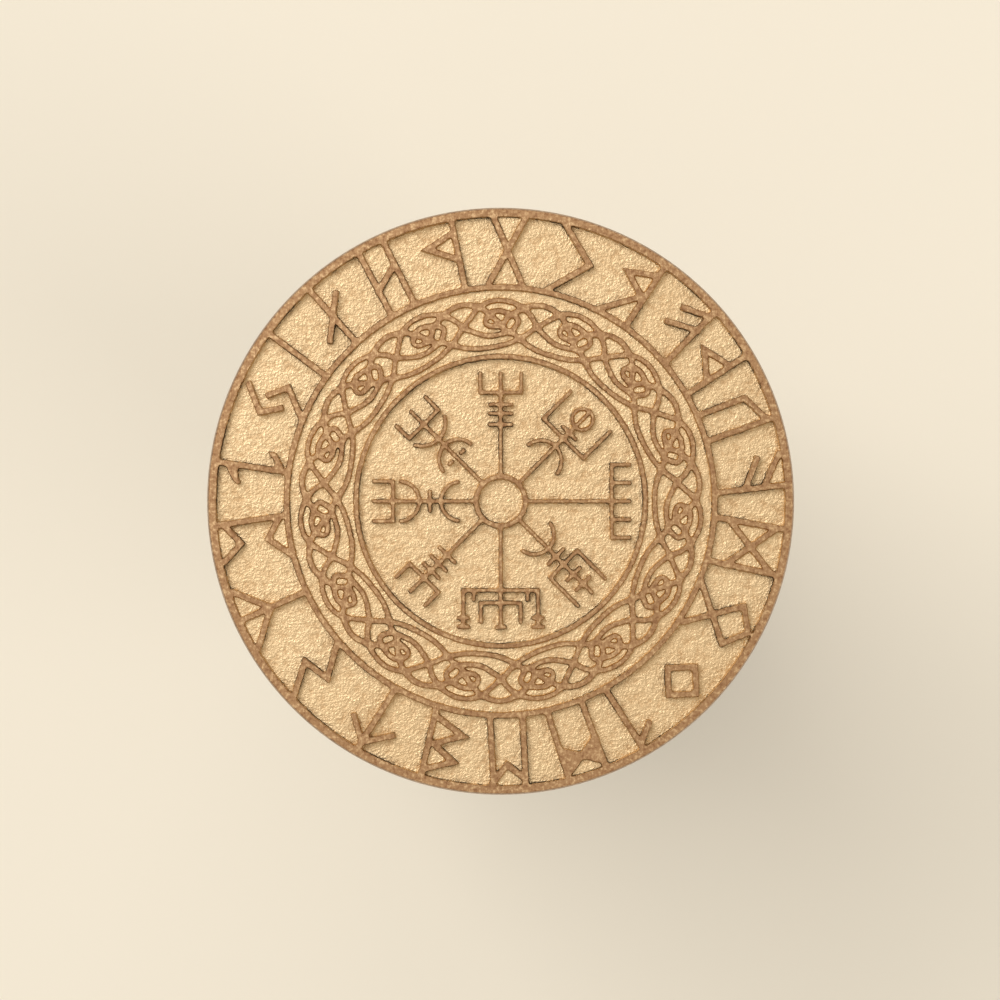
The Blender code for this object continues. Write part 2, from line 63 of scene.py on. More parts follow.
def feed(tree, node, sockets):
    """Set sockets of a node to values, or link them to other nodes or their sockets.

    By number, a Mix node takes a share on 0 and two colours on 6 and 7. A MapRange node takes a value on 0,
    the range it comes from on 1 and 2, and the range it goes to on 3 and 4.
    """
    for socket, value in sockets.items():
        if isinstance(value, bpy.types.Node):
            value = next(output for output in value.outputs if output.enabled)
        if isinstance(value, bpy.types.NodeSocket):
            tree.links.new(value, node.inputs[socket])
        else:
            node.inputs[socket].default_value = value


def add(tree, kind, sockets, **settings):
    """Add a node with its settings, and feed its sockets."""
    node = tree.nodes.new("ShaderNode" + kind)
    for name, value in settings.items():
        setattr(node, name, value)
    feed(tree, node, sockets)
    return node


def start_material(name):
    """New material with its tree, its shader and the piece's own coordinates."""
    material = bpy.data.materials.new(name)
    material.use_nodes = True
    tree = material.node_tree
    place = add(tree, "TexCoord", {}).outputs["Object"]
    return material, tree, tree.nodes["Principled BSDF"], place


def etched_brass():
    """Ground of the die: brass etched by acid and then blasted with fine beads. It is pale and matt with a
    metal glint from every small dent, and softly stained where damp leather has touched it."""
    material, tree, shader, place = start_material("etched_brass")
    dents = add(tree, "TexNoise", {"Vector": place, "Scale": across(0.15), "Detail": 2.0, "Roughness": 0.6})
    pits = add(tree, "TexNoise", {"Vector": place, "Scale": across(0.42), "Detail": 3.0, "Roughness": 0.65})
    stain = add(tree, "TexNoise", {"Vector": place, "Scale": across(6), "Detail": 4.0, "Roughness": 0.6})
    pale = add(tree, "Mix", {0: stain, 6: srgb("#D2BB98"), 7: srgb("#C2A782")}, data_type="RGBA")
    dark = add(tree, "MapRange", {0: pits, 1: 0.32, 2: 0.50, 3: 0.5, 4: 0.0})
    color = add(tree, "Mix", {0: dark, 6: pale, 7: srgb("#A68259")}, data_type="RGBA")
    rough = add(tree, "MapRange", {0: pits, 1: 0.3, 2: 0.7, 3: 0.54, 4: 0.36})
    height = add(tree, "Math", {0: pits, 1: 1.6, 2: dents}, operation="MULTIPLY_ADD")
    bump = add(tree, "Bump", {"Strength": 1.0, "Distance": 0.038 * MM, "Height": height})
    feed(tree, shader, {"Base Color": color, "Roughness": rough, "Normal": bump, "Metallic": 1.0})
    return material


def browned_brass():
    """Tops of the strokes: rubbed flat on fine paper, then browned by the tannin of damp leather. They are
    darker than the ground, with straight hairlines and spots where the brown has worn thin or lies thick."""
    material, tree, shader, place = start_material("browned_brass")
    lay = add(tree, "Mapping", {"Vector": place, "Rotation": (0, 0, math.radians(24)), "Scale": (1, 0.06, 1)})
    hairs = add(tree, "TexNoise", {"Vector": lay, "Scale": across(0.10), "Detail": 2.0})
    mottle = add(tree, "TexNoise", {"Vector": place, "Scale": across(0.24), "Detail": 3.0, "Roughness": 0.65})
    drift = add(tree, "TexNoise", {"Vector": place, "Scale": across(3), "Detail": 3.0})
    brown = add(tree, "Mix", {0: drift, 6: srgb("#8F6E50"), 7: srgb("#A58362")}, data_type="RGBA")
    thin = add(tree, "MapRange", {0: mottle, 1: 0.52, 2: 0.66, 3: 0.0, 4: 0.8})
    worn = add(tree, "Mix", {0: thin, 6: brown, 7: srgb("#CFB08A")}, data_type="RGBA")
    thick = add(tree, "MapRange", {0: mottle, 1: 0.34, 2: 0.46, 3: 0.7, 4: 0.0})
    color = add(tree, "Mix", {0: thick, 6: worn, 7: srgb("#745138")}, data_type="RGBA")
    rough = add(tree, "MapRange", {0: mottle, 1: 0.3, 2: 0.7, 3: 0.52, 4: 0.34})
    bump = add(tree, "Bump", {"Strength": 0.5, "Distance": 0.02 * MM, "Height": hairs})
    feed(tree, shader, {"Base Color": color, "Roughness": rough, "Normal": bump, "Metallic": 1.0})
    return material


def smut_and_shade_brass():
    """Walls of the strokes: brass left rough by the acid, with dark residue in broken rows of specks along
    their foot, thick at some strokes and nearly gone at others. The specks are also painted shade: they are
    kept to the foot, most of them in the corner where the walls meet the ground."""
    material, tree, shader, place = start_material("smut_and_shade_brass")
    stretch = add(tree, "TexNoise", {"Vector": place, "Scale": across(2.8), "Detail": 2.0})
    specks = add(tree, "TexNoise", {"Vector": place, "Scale": across(0.32), "Detail": 2.0, "Roughness": 0.6})
    both = add(tree, "Math", {0: stretch, 1: 1.3, 2: specks}, operation="MULTIPLY_ADD")
    dark = add(tree, "MapRange", {0: both, 1: 1.13, 2: 1.33, 3: 0.0, 4: 1.0})
    parts = add(tree, "SeparateXYZ", {0: place})
    # Painted shade as well as residue: dark specks are let in only near the walls' foot, where they meet the
    # ground
    foot = add(tree, "MapRange", {0: parts.outputs[2], 1: (FACE_TOP - RESIDUE_AND_SHADE_FULL) * MM,
                                  2: (FACE_TOP - RESIDUE_AND_SHADE_END) * MM, 3: 1.0, 4: 0.0})
    specks_and_foot_shade = add(tree, "Math", {0: dark, 1: foot}, operation="ADD")
    residue_and_shade = add(tree, "MapRange", {0: specks_and_foot_shade, 1: 1.0, 2: 1.35, 3: 0.0, 4: 1.0})
    color = add(tree, "Mix", {0: residue_and_shade, 6: srgb("#BC9964"), 7: srgb("#372315")}, data_type="RGBA")
    rough = add(tree, "MapRange", {0: residue_and_shade, 1: 0.0, 2: 0.6, 3: 0.42, 4: 0.7})
    feed(tree, shader, {"Base Color": color, "Roughness": rough, "Metallic": 1.0})
    return material


def turned_metal(name, clean, dull, bright, smooth):
    """Metal straight off the lathe: rings round the axis from the tool, dull handling marks, and bright edges
    where it is knocked and rubbed. The rings are coarser than the real 0.1 mm, so that they show."""
    material, tree, shader, place = start_material(name)
    flat = add(tree, "VectorMath", {0: place, 1: (1, 1, 0)}, operation="MULTIPLY")
    radius = add(tree, "VectorMath", {0: flat}, operation="LENGTH")
    parts = add(tree, "SeparateXYZ", {0: place})
    lathe = add(tree, "CombineXYZ", {0: radius, 2: parts.outputs[2]})
    rings = add(tree, "TexNoise", {"Vector": lathe, "Scale": across(0.5), "Detail": 4.0, "Roughness": 0.7})
    marks = add(tree, "TexNoise", {"Vector": place, "Scale": across(7), "Detail": 6.0, "Roughness": 0.62})
    both = add(tree, "Math", {0: rings, 1: 0.6, 2: marks}, operation="MULTIPLY_ADD")
    tarnish = add(tree, "MapRange", {0: both, 1: 0.68, 2: 0.98, 3: 0.0, 4: 1.0})
    body = add(tree, "Mix", {0: tarnish, 6: srgb(clean), 7: srgb(dull)}, data_type="RGBA")
    specks = add(tree, "TexNoise", {"Vector": place, "Scale": across(1.5), "Detail": 3.0})
    wear = add(tree, "Attribute", {}, attribute_name="wear")
    rubbed = add(tree, "Math", {0: wear.outputs["Fac"], 1: specks}, operation="MULTIPLY")
    edge = add(tree, "MapRange", {0: rubbed, 1: 0.18, 2: 0.7, 3: 0.0, 4: 0.9})
    color = add(tree, "Mix", {0: edge, 6: body, 7: srgb(bright)}, data_type="RGBA")
    rough = add(tree, "MapRange", {0: both, 1: 0.6, 2: 1.0, 3: smooth, 4: smooth + 0.18})
    polish = add(tree, "Math", {0: edge, 1: -0.1, 2: rough}, operation="MULTIPLY_ADD")
    bump = add(tree, "Bump", {"Strength": 0.5, "Distance": 0.02 * MM, "Height": rings})
    feed(tree, shader, {"Base Color": color, "Roughness": polish, "Normal": bump, "Metallic": 1.0})
    return material


def oiled_walnut():
    """Turned walnut rubbed with oil: growth rings that show as long flames on the swell, dark open pores
    along the grain, and a low sheen. Two lines near the collar are scorched in with a wire."""
    material, tree, shader, place = start_material("oiled_walnut")
    long_grain = add(tree, "VectorMath", {0: place, 1: (1, 1, 0.10)}, operation="MULTIPLY")
    warp = add(tree, "TexNoise", {"Vector": long_grain, "Scale": across(11), "Detail": 3.0})
    heart = add(tree, "VectorMath", {0: place, 1: TREE_HEART}, operation="SUBTRACT")
    flat = add(tree, "VectorMath", {0: heart, 1: (1, 1, 0.035)}, operation="MULTIPLY")
    depth = add(tree, "VectorMath", {0: flat}, operation="LENGTH")
    bent = add(tree, "Math", {0: warp, 1: 0.0075, 2: depth}, operation="MULTIPLY_ADD")
    year = add(tree, "Math", {0: bent, 1: across(2.3)}, operation="MULTIPLY")
    season = add(tree, "Math", {0: year}, operation="FRACT")
    late = add(tree, "Math", {0: season, 1: 2.2}, operation="POWER")
    streak = add(tree, "TexNoise", {"Vector": long_grain, "Scale": across(3.2), "Detail": 4.0,
                                    "Roughness": 0.6})
    fibre = add(tree, "VectorMath", {0: place, 1: (1, 1, 0.022)}, operation="MULTIPLY")
    pores = add(tree, "TexNoise", {"Vector": fibre, "Scale": across(0.34), "Detail": 2.0})
    pore = add(tree, "MapRange", {0: pores, 1: 0.58, 2: 0.68, 3: 0.0, 4: 0.85})
    tone = add(tree, "Mix", {0: late, 6: srgb("#8F6340"), 7: srgb("#5A3820")}, data_type="RGBA")
    broad = add(tree, "MapRange", {0: streak, 1: 0.35, 2: 0.7, 3: 0.0, 4: 0.7})
    streaked = add(tree, "Mix", {0: broad, 6: tone, 7: srgb("#4E3019")}, data_type="RGBA")
    color = add(tree, "Mix", {0: pore, 6: streaked, 7: srgb("#2A190D")}, data_type="RGBA")
    parts = add(tree, "SeparateXYZ", {0: place})
    for height in SCORCHED_LINES:
        line = add(tree, "Math", {0: parts.outputs[2], 1: height * MM, 2: SCORCH_STAIN * MM},
                   operation="COMPARE")
        color = add(tree, "Mix", {0: line, 6: color, 7: srgb("#22140B")}, data_type="RGBA")
    rough = add(tree, "MapRange", {0: streak, 1: 0.3, 2: 0.7, 3: 0.36, 4: 0.50})
    bump = add(tree, "Bump", {"Strength": 0.35, "Distance": 0.05 * MM, "Height": pore}, invert=True)
    feed(tree, shader, {"Base Color": color, "Roughness": rough, "Normal": bump,
                        "IOR": 1.5, "Coat Weight": 0.25, "Coat Roughness": 0.3})
    return material


def tanned_leather():
    """Washer punched from thick vegetable-tanned leather: a matt cut edge with fibres in layers, dark streaks
    between them, and corners burnished brown by rubbing. Its fibres are coarser than real, to show."""
    material, tree, shader, place = start_material("tanned_leather")
    layer = add(tree, "VectorMath", {0: place, 1: (0.16, 0.16, 1)}, operation="MULTIPLY")
    fibre = add(tree, "TexNoise", {"Vector": layer, "Scale": across(0.24), "Detail": 5.0, "Roughness": 0.7})
    gaps = add(tree, "TexNoise", {"Vector": layer, "Scale": across(0.55), "Detail": 3.0})
    tuft = add(tree, "MapRange", {0: fibre, 1: 0.32, 2: 0.68, 3: 0.0, 4: 1.0})
    tone = add(tree, "Mix", {0: tuft, 6: srgb("#8B5A32"), 7: srgb("#D6AB7B")}, data_type="RGBA")
    gap = add(tree, "MapRange", {0: gaps, 1: 0.55, 2: 0.68, 3: 0.0, 4: 0.75})
    streaked = add(tree, "Mix", {0: gap, 6: tone, 7: srgb("#5C381C")}, data_type="RGBA")
    wear = add(tree, "Attribute", {}, attribute_name="wear")
    rubbed = add(tree, "Math", {0: wear.outputs["Fac"], 1: 0.7}, operation="MULTIPLY")
    color = add(tree, "Mix", {0: rubbed, 6: streaked, 7: srgb("#6E4523")}, data_type="RGBA")
    bump = add(tree, "Bump", {"Strength": 0.8, "Distance": 0.12 * MM, "Height": fibre})
    feed(tree, shader, {"Base Color": color, "Normal": bump, "Roughness": 0.75, "IOR": 1.5})
    return material


def moulded_rubber():
    """Nitrile ring: black and dull, with a paler bloom where it has been rubbed."""
    material, tree, shader, place = start_material("moulded_rubber")
    bloom = add(tree, "TexNoise", {"Vector": place, "Scale": across(1.2), "Detail": 4.0})
    color = add(tree, "Mix", {0: bloom, 6: srgb("#161616"), 7: srgb("#343332")}, data_type="RGBA")
    rough = add(tree, "MapRange", {0: bloom, 1: 0.3, 2: 0.7, 3: 0.42, 4: 0.62})
    feed(tree, shader, {"Base Color": color, "Roughness": rough, "IOR": 1.52})
    return material


def black_oxide():
    """Blackened screw steel: dark and satin, thin enough to show grey where a key has turned in it."""
    material, tree, shader, place = start_material("black_oxide")
    patch = add(tree, "TexNoise", {"Vector": place, "Scale": across(1.1), "Detail": 4.0, "Roughness": 0.65})
    thin = add(tree, "MapRange", {0: patch, 1: 0.45, 2: 0.75, 3: 0.0, 4: 0.8})
    color = add(tree, "Mix", {0: thin, 6: srgb("#2B2B2D"), 7: srgb("#5A5A5C")}, data_type="RGBA")
    rough = add(tree, "MapRange", {0: patch, 1: 0.3, 2: 0.7, 3: 0.34, 4: 0.48})
    feed(tree, shader, {"Base Color": color, "Roughness": rough, "Metallic": 1.0})
    return material


# Pieces

SHARP_ANGLE = 32            # degrees between faces, from which their edge is shaded sharp
WORN_RADIUS = 0.9           # edges rounder than this are rubbed less bright
WIDE_EDGE = 0.5             # edges rounder than this are rounded in more steps
WIDE_STEPS, FINE_STEPS = 8, 3
SEAM = 1e-4                 # points closer than this are joined after a full turn
SLIVER = 0.01               # points closer than this are joined after a hole is bored
HOLE_SIDES = 48


def finish_piece(name, bm, materials, body, slot, *nodes):
    """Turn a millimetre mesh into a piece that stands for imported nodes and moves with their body."""
    bmesh.ops.scale(bm, verts=bm.verts, vec=(MM, MM, MM))
    mesh = bpy.data.meshes.new(name)
    bm.to_mesh(mesh)
    bm.free()
    for material in materials:
        mesh.materials.append(material)
    mesh.shade_smooth()
    mesh.set_sharp_from_angle(angle=math.radians(SHARP_ANGLE))
    piece = bpy.data.objects.new(name, mesh)
    bpy.context.scene.collection.objects.link(piece)
    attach(piece, body)
    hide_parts(*nodes)


def only(kind, items):
    """Verts, edges or faces among what an operator made."""
    return [item for item in items if isinstance(item, kind)]


def turned(profile, segments=160, ring=0.4):
    """Turn a (radius, height, edge radius) profile about the axis, as on a lathe.

    Corners with an edge radius are rounded, and their points carry a wear of 1, or less on wide ones. A
    negative one rounds an inside corner, without wear. No ring of faces is longer than the given length, so
    that wear stays close to its edge.
    """
    bm = bmesh.new()
    wear = bm.verts.layers.float.new("wear")
    verts = [bm.verts.new((point[0], 0, point[1])) for point in profile]
    pairs = list(zip(verts, verts[1:]))
    if profile[0][0] > 0:
        pairs.append((verts[-1], verts[0]))
    for pair in pairs:
        bm.edges.new(pair)
    corners = {}
    for vert, point in zip(verts, profile):
        if len(point) > 2:
            corners.setdefault(point[2], []).append(vert)
    for radius, group in corners.items():
        steps = WIDE_STEPS if abs(radius) > WIDE_EDGE else FINE_STEPS
        rounded = bmesh.ops.bevel(bm, geom=group, offset=abs(radius), affect="VERTICES", segments=steps,
                                  profile=0.5, material=-1)
        for vert in rounded["verts"]:
            vert[wear] = min(1.0, WORN_RADIUS / radius) if radius > 0 else 0.0
    for edge in list(bm.edges):
        cuts = math.ceil(edge.calc_length() / ring) - 1
        if cuts > 0:
            inner = bmesh.ops.subdivide_edges(bm, edges=[edge], cuts=cuts)["geom_inner"]
            for vert in only(BMVert, inner):
                vert[wear] = 0.0
    bmesh.ops.spin(bm, geom=bm.verts[:] + bm.edges[:], cent=(0, 0, 0), axis=(0, 0, 1),
                   angle=2 * math.pi, steps=segments, use_merge=True)
    bmesh.ops.remove_doubles(bm, verts=bm.verts, dist=SEAM)
    bmesh.ops.recalc_face_normals(bm, faces=bm.faces)
    return bm


def moved(bm, matrix):
    """The same mesh in another place."""
    bmesh.ops.transform(bm, matrix=matrix, verts=bm.verts)
    return bm


def pull(bm, edges, rise, size=1.0, material=0):
    """Draw a loop of edges out along the axis and to another size, and return the new loop."""
    grown = bmesh.ops.extrude_edge_only(bm, edges=edges)["geom"]
    drawn = Matrix.Translation((0, 0, rise)) @ Matrix.Diagonal((size, size, 1, 1))
    bmesh.ops.transform(bm, matrix=drawn, verts=only(BMVert, grown))
    for face in only(BMFace, grown):
        face.material_index = material
    return only(BMEdge, grown)


def bored(bm, radius, low, high, place):
    """Take a round hole out of a mesh. The hole is made on +Z and then put in its place."""
    drill = bmesh.new()
    bmesh.ops.create_cone(drill, cap_ends=True, segments=HOLE_SIDES, radius1=radius, radius2=radius,
                          depth=high - low)
    moved(drill, place @ Matrix.Translation((0, 0, (low + high) / 2)))
    blanks = []
    for shape in (bm, drill):
        mesh = bpy.data.meshes.new("blank")
        shape.to_mesh(mesh)
        shape.free()
        blanks.append(bpy.data.objects.new("blank", mesh))
        bpy.context.scene.collection.objects.link(blanks[-1])
    hole = blanks[0].modifiers.new("hole", "BOOLEAN")
    hole.operation = "DIFFERENCE"
    hole.solver = "EXACT"
    hole.object = blanks[1]
    result = bmesh.new()
    result.from_object(blanks[0], bpy.context.evaluated_depsgraph_get())
    for blank in blanks:
        bpy.data.objects.remove(blank, do_unlink=True)
    bmesh.ops.remove_doubles(result, verts=result.verts, dist=SLIVER)
    return result


# Places of cross holes, screws and dowel, for shapes that are made on the axis

SCREW_COUNT = 3
SCREW_CIRCLE = 12.75        # distance of the screws from the axis
SCREW_HOLE = 1.3            # radius, a close fit round the shank
SCREW_DEPTH = 3.3           # depth of the holes in the plate's back
SCREW_SEAT = 114.0          # height at which the heads meet the flange
SCREW_FACE = 111.5          # height of their ends with the hexagon
SCREW_SIDES = 60
KNURL = 0.965               # size at the valleys of a knurled head
PIN_HEIGHT = 9.65
PIN_HOLE = 1.6
PIN_REACH = 16.0            # past the cap on either side
MARK_HEIGHT = 35.3
MARK_HOLE = 2.06
MARK_RUN = (12.0, 17.0)     # from the hole's floor to past the swell
DOWEL_CIRCLE = 7.4
DOWEL_SEAT = 1.03           # radius of the hole in the spindle that grips the dowel
DOWEL_HOLE = 1.2            # and of the one in the hub that slides over it
PIN_SPOT = Matrix.Translation((0, 0, PIN_HEIGHT)) @ Matrix.Rotation(math.radians(90), 4, "Y")
MARK_SPOT = Matrix.Translation((0, 0, MARK_HEIGHT)) @ Matrix.Rotation(math.radians(-90), 4, "X")
DOWEL_SPOT = Matrix.Translation((0, DOWEL_CIRCLE, 0))


def cross_bored(bm):
    """Bore a piece right through for the cross pin."""
    return bored(bm, PIN_HOLE, -PIN_REACH, PIN_REACH, PIN_SPOT)


def screw_spot(index):
    """Place of one of the screws round the hub."""
    turn = Matrix.Rotation(2 * math.pi * index / SCREW_COUNT, 4, "Z")
    return turn @ Matrix.Translation((0, SCREW_CIRCLE, 0))


# Pattern of the die, drawn on a grid of fine steps from the axis out to the rim's edge

DIE_RADIUS = 19.0
STEPS_TO_RIM = 294.5
STEP = DIE_RADIUS / STEPS_TO_RIM
PLATE_BASE = 118.1
FACE_GROUND = 123.7
FACE_TOP = 124.4
BACK_CHAMFER = 0.6
WALL_LEAN = 0.06            # how far a wall leans in from its foot to its top
RIM_LEAN = 0.06             # how much more the rim's outer wall leans in
EASED_EDGE = 0.03           # top edges are eased, so that they press the leather and don't cut it
WALL_HEIGHT = FACE_TOP - FACE_GROUND - EASED_EDGE
ETCH_STEP = 0.15            # length of a straight stretch of an etched edge
CORNER_PASSES = 1           # how often outlines are evened, which rounds their corners
PLAIT_PASSES = 3            # the same in the plaited band, whose cells are rounder
ETCH_WANDER = 0.035         # how far the acid lets an edge wander
WANDER_SEED = 1             # the same wander each run
SHALLOWEST = 0.13           # depth of the narrowest cells, where the acid hardly runs
ACID_REACH = 0.9            # how much deeper a cell is etched for its width
RESIDUE_AND_SHADE_END = 0.10          # how far below the tops the residue and painted shade on the walls end
RESIDUE_AND_SHADE_FULL = 0.44         # and how far below them they are thickest
FOLDED = 0.3                # tops whose normals rise less have crossed over
UNTANGLE_PASSES = 6
GROUND, TOP, WALL, SIDE = range(4)  # materials of the die
WHOLE, INSIDE = range(2)    # what delaunay_2d_cdt keeps: all, or the patches

# Widths of the strokes at their foot, in steps
STAVE_WIDTH = 4.75
RUNE_WIDTH = 7.1
STRAND_WIDTH = 6.0
KNOT_WIDTH = 6.4
MITRE_LIMIT = 0.4           # keeps a sharp joint's mitre short
RUNE_REACH = 3.0            # how far a rune's lines run on past their ends
STEM_FOOT = 24.9            # where the staves start, in the hub ring

# Fineness of the outlines
RING_SIDES = 360
HUB_RING_SIDES = 96
CURVE_STEPS = 3             # between one point of the plait and the next

# Outer and inner radius of the rings, in steps
RIM = (STEPS_TO_RIM, 284.4)
RUNE_RING = (218.0, 211.0)
COMPASS_RING = (148.0, 142.0)
HUB_RING = (27.8, 21.6)


def placed(out, side, bearing):
    """Point of the die from above. Bearings and sides run clockwise in the mark, so the other way here."""
    angle = math.radians(bearing)
    return Vector((-math.sin(angle) * out - math.cos(angle) * side,
                   math.cos(angle) * out - math.sin(angle) * side))


def ribbon(points, width, closed=False, reach=0.0):
    """Stroke along a line of points as a run of four-sided patches with mitred joints."""
    count = len(points)
    left, right = [], []
    for i, point in enumerate(points):
        run_in = point - points[i - 1] if closed or i else points[1] - point
        run_out = points[(i + 1) % count] - point if closed or i < count - 1 else run_in
        run_in, run_out = run_in.normalized(), run_out.normalized()
        along = (run_in + run_out).normalized()
        half = width / 2 / max(along.dot(run_in), MITRE_LIMIT)
        if not closed and i == 0:
            point = point - along * reach
        if not closed and i == count - 1:
            point = point + along * reach
        across_line = Vector((-along.y, along.x)) * half
        left.append(point + across_line)
        right.append(point - across_line)
    ends = list(zip(left, right))
    pairs = list(zip(ends, ends[1:])) + ([(ends[-1], ends[0])] if closed else [])
    return [[a, b, d, c] for (a, b), (c, d) in pairs]


def smooth_loop(points):
    """Smooth curve through points and back to the first."""
    count = len(points)
    line = []
    for i in range(count):
        before, start, end, after = [points[k % count] for k in range(i - 1, i + 3)]
        bend = 2 * before - 5 * start + 4 * end - after
        twist = 3 * start - before - 3 * end + after
        for j in range(CURVE_STEPS):
            part = j / CURVE_STEPS
            line.append(start + ((end - before) * part + bend * part ** 2 + twist * part ** 3) / 2)
    return line


def ring_line(radius, sides):
    """Points evenly round the axis."""
    return [placed(radius, 0, 360 * i / sides) for i in range(sides)]


# Compass of eight staves. Points are (out from the axis, to the side), in steps

def stem(tip):
    """Long stroke from the hub ring out along the stave."""
    return [(STEM_FOOT, 0), (tip, 0)]


def rung(out, half, side=0):
    """Short stroke across."""
    return [(out, side - half), (out, side + half)]


def fork(base, half, tip):
    """Stroke across with both ends turned outwards."""
    return [(tip, -half), (base, -half), (base, half), (tip, half)]


def prong(side, low, high):
    """Short stroke beside the stem."""
    return [(low, side), (high, side)]


def bow(apex, ends, half, steps=20):
    """Round stroke across the stave, through its apex and its two ends."""
    rise = ends - apex
    radius = (half * half + rise * rise) / (2 * rise)
    spread = math.atan2(half, abs(radius - rise)) if abs(rise) < abs(radius) else math.pi / 2
    turns = [spread * (2 * i / steps - 1) for i in range(steps + 1)]
    return [(apex + radius - radius * math.cos(turn), radius * math.sin(turn)) for turn in turns]


def hoop(out, radius, steps=40):
    """Round stroke that closes on itself."""
    turns = [2 * math.pi * i / steps for i in range(steps + 1)]
    return [(out + radius * math.cos(turn), radius * math.sin(turn)) for turn in turns]


STAVES = [
    [stem(128), fork(109, 20.5, 128), rung(97, 10.5), rung(88, 10.5), rung(77, 10.5)],
    [stem(127), fork(109, 20.5, 127), bow(88, 100, 20.5), bow(79.6, 62, 19.5), rung(62.5, 1.8, -8),
     rung(62.5, 1.8, 8)],
    [stem(127), bow(60, 43, 19.5), rung(71, 9.5), bow(81.5, 100, 20), fork(108, 20, 127)],
    [stem(127.5), rung(76, 10.5), rung(88, 10.5), rung(98.5, 10.5), fork(108.6, 20.4, 127.5)],
    [stem(126.5), rung(126.5, 4), fork(89.3, 37.5, 126), fork(102, 20, 121), prong(-27, 89.3, 98.5),
     prong(27, 89.3, 98.5), rung(126, 4.8, -37.5), rung(126, 4.8, 37.5), rung(117, 4.5, -37.5),
     rung(117, 4.5, 37.5)],
    [stem(129), bow(67.4, 51, 19.5), rung(78.3, 10.4), fork(89.3, 19.3, 128.6), rung(103.3, 8.7),
     rung(116.7, 9.2)],
    [stem(129), fork(111.3, 36.6, 129), prong(-18.4, 111.3, 129), prong(18.4, 111.3, 129)],
    [stem(127), bow(78, 60, 20.3), fork(89, 28.2, 127), rung(97, 8.6), hoop(116, 10.5)],
]

# Plaited band of fifteen units. Points are (degrees round from the middle of a unit, radius in steps)
PLAIT_UNITS = 15
PLAIT_STRANDS = 3
STRAND = [(-10, 186), (-7.7, 192.3), (-5.6, 196.8), (-2.5, 200.3), (0.5, 201.5), (3.8, 199.8), (6.2, 195.8),
          (8.8, 188), (10.6, 182.2), (12.4, 177.7), (14.2, 172), (16.8, 165.2), (20.2, 159.6), (24.3, 155.8),
          (29.7, 154.2), (34.3, 155.1), (38.3, 158.9), (41.2, 163.7), (43.4, 168), (45.7, 169.3),
          (48.3, 167.1), (51.6, 165.9), (54.9, 168.1), (57.3, 172), (59.3, 175.6), (60.5, 178.5)]
KNOT = [(-5.8, 192.6), (-3.2, 187.2), (-2.1, 183.5), (-0.9, 178.2), (0.9, 175.3), (3.3, 175.6), (4.9, 178.4),
        (4.6, 183.6), (3.1, 188.9), (0.3, 190.9), (-4.1, 186.2), (-5.7, 181.1), (-4.4, 174), (-3.2, 169.9),
        (-1.6, 171.6), (0, 176.7), (1.8, 183), (3.5, 187.2), (4.6, 191.2), (5.9, 194.9), (7.5, 197.3),
        (10.7, 200.3), (13.9, 199.3), (16.4, 196.2)]

# Rune row in its old alphabetical order, clockwise in the mark from the left. Each rune has the bearing of
# its tile and lines of (to the side, out from the middle of the band) points
RUNE_MIDDLE = 250.5
RUNES = [
    (-82.5, [[(-21, 31), (-20, -33)], [(-20, 13), (11, 32.2)], [(-20, -6), (9, 10)]]),
    (-67.5, [[(-27, 31), (-24, -33)], [(-25, 27), (2, 15), (3.5, -33)]]),
    (-52.5, [[(-34, 31), (-29, -33)], [(-31, 14), (-3.8, 4), (-29, -12.6)]]),
    (-52.5, [[(19, 31), (10, -33)], [(18, 28.7), (43, 12.7)], [(15, 10.7), (42, -8.3)]]),
    (-37.5, [[(12, 31), (7.5, -33)], [(12, 24.5), (39, 9.8), (13, -2), (38.1, -35.8)]]),
    (-22.5, [[(45.6, 30.4), (7.8, 2.4), (37.6, -36)]]),
    (-7.5, [[(13, 32), (40, -35)], [(43.8, 30.3), (7, -32)]]),
    (7.5, [[(12, 31), (7.5, -33)], [(12, 22.5), (40.2, 9), (12, -4)]]),
    (22.5, [[(9, 31), (4, -33)], [(36, 30), (30, -33)], [(10, 8), (33, -10)]]),
    (37.5, [[(23, 30), (18, -32)], [(4, 16), (38, -19)]]),
    (52.5, [[(8, 31), (7, -34)]]),
    (67.5, [[(-12, 27.7), (10, 6.7), (-2, -11.3)], [(-9, 5.7), (-24, -10.3), (-0.9, -33.4)]]),
    (82.5, [[(-2, 33), (-1, -36)]]),
    (97.5, [[(-13, 33), (-14, -35)], [(-13, 28.6), (8, 12.8), (24.2, 31.5)],
            [(-13, -28.6), (7, -14.4), (25, -35)]]),
    (112.5, [[(11, 33), (9, -35)], [(-18.4, 32.5), (10, 3), (42.3, 29.9)]]),
    (127.5, [[(28.7, 32.5), (8, 3), (35, -4.5), (13, -34)]]),
    (157.5, [[(-37, 29), (-26, -35)], [(-54, 4), (-36, 26), (-10, 8)]]),
    (172.5, [[(-43, 29), (-37, -36)], [(-40, 25), (-13, 15), (-35, -1), (-7, -12), (-36, -29)]]),
    (187.5, [[(-44, 30), (-39, -34)], [(-11.7, 33), (-6.5, -32)], [(-45, 29), (-28, 12), (-11.5, 29)]]),
    (202.5, [[(-43, 30), (-37.7, -36)], [(-4.1, 33), (-2, -32)], [(-43, 29), (-3, 4)], [(-4, 29), (-41, 3)]]),
    (217.5, [[(-37, 30), (-31.7, -35)], [(-37, 28), (-17, 16)]]),
    (232.5, [[(-33.6, 22.5), (-13, 5), (-31, -16), (-51.6, 1.5)]]),
    (247.5, [[(-41.8, -35.4), (-4, 15), (-27, 29), (-47, 9), (3.5, -34.3)]]),
    (262.5, [[(-37, 29), (-32, -33)], [(9.3, 31), (12.3, -33)], [(-36, 27), (11.5, -21)],
             [(8.5, 27), (-34, -20)]]),
]
CLOSED_RUNE = 21            # the one rune that is a closed square

